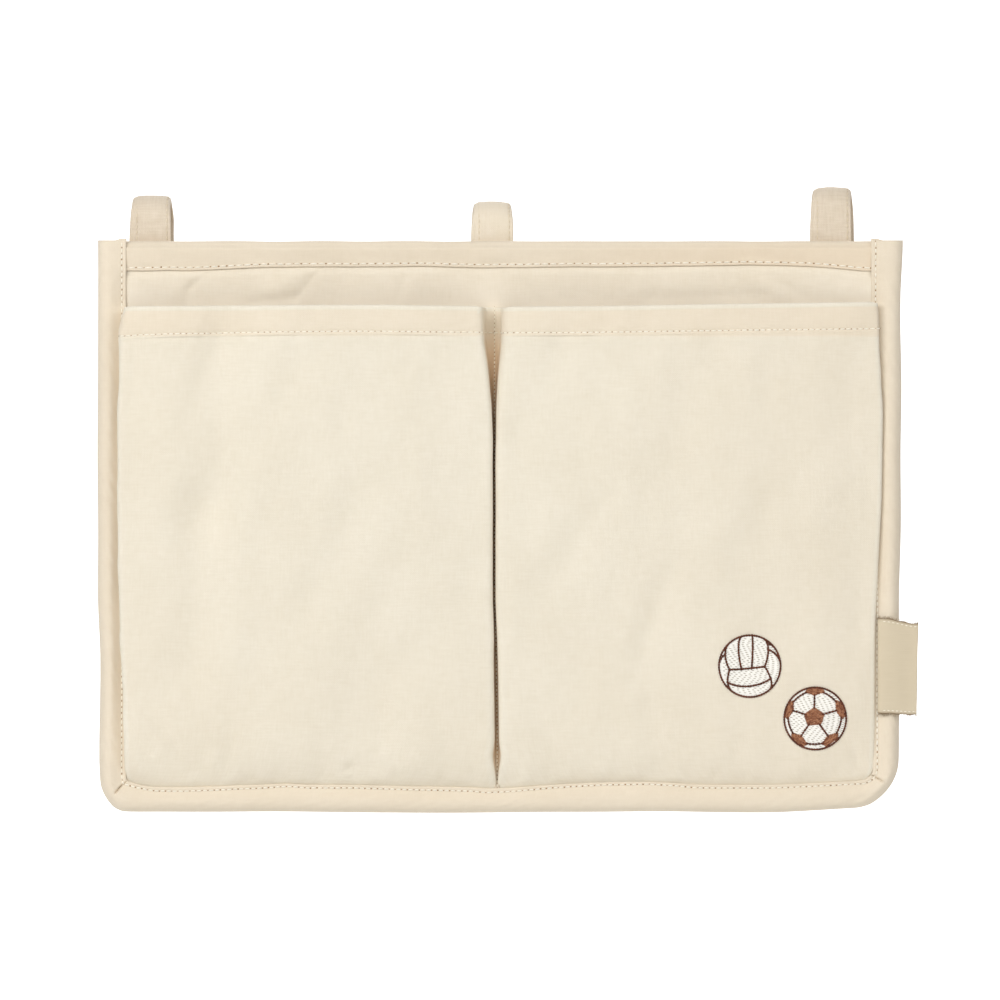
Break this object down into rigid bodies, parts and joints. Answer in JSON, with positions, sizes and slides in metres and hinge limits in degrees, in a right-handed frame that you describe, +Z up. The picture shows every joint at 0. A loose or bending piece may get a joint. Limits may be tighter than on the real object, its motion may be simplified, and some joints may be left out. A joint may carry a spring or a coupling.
{
  "type": "hanging bedside caddy",
  "caption": "Sewn cotton caddy that hangs from a bed rail by openable straps, with side-by-side bellows pockets on a wadded back panel.",
  "frame": {"origin": "axis of the bed rail, at the middle of the centre strap's width", "axes": "+X to the right along the rail, +Y away from the pockets towards the bed, +Z up"},
  "size_m": [0.4285, 0.052, 0.3263],
  "materials": {
    "pocket_cotton": "plain-woven natural cotton",
    "panel_cotton": "plain-woven natural cotton",
    "binding_cotton": "plain-woven natural cotton, stuffed",
    "strap_cotton": "folded and edge-stitched cotton tape",
    "filling": "polyester wadding",
    "hook_and_loop": "woven tape with nylon hooks or loops",
    "label_cotton": "woven ribbon with a satin face, blank"
  },
  "bodies": {
    "caddy": {"front_panel": "panel_cotton", "wadding": "filling", "rear_panel": "panel_cotton", "top_binding": "binding_cotton", "edge_binding": "binding_cotton", "edge_filler": "filling", "pocket_sheet": "pocket_cotton", "woven_label": "label_cotton", "strap_left_base": "strap_cotton", "strap_left_loop_tape": "hook_and_loop", "strap_centre_base": "strap_cotton", "strap_centre_loop_tape": "hook_and_loop", "strap_right_base": "strap_cotton", "strap_right_loop_tape": "hook_and_loop"},
    "left_flap": {"strap_left_flap": "strap_cotton", "strap_left_hook_tape": "hook_and_loop"},
    "centre_flap": {"strap_centre_flap": "strap_cotton", "strap_centre_hook_tape": "hook_and_loop"},
    "right_flap": {"strap_right_flap": "strap_cotton", "strap_right_hook_tape": "hook_and_loop"}
  },
  "joints": [
    {"name": "left_strap_open", "type": "hinge", "parent": "caddy", "child": "left_flap", "pos_m": [-0.1819, 0, 0.0152], "axis": [1, 0, 0], "range_deg": [0, 110]},
    {"name": "centre_strap_open", "type": "hinge", "parent": "caddy", "child": "centre_flap", "pos_m": [-0.0033, 0, 0.012], "axis": [1, 0, 0], "range_deg": [0, 110]},
    {"name": "right_strap_open", "type": "hinge", "parent": "caddy", "child": "right_flap", "pos_m": [0.1739, 0, 0.0194], "axis": [1, 0, 0], "range_deg": [0, 110]}
  ]
}
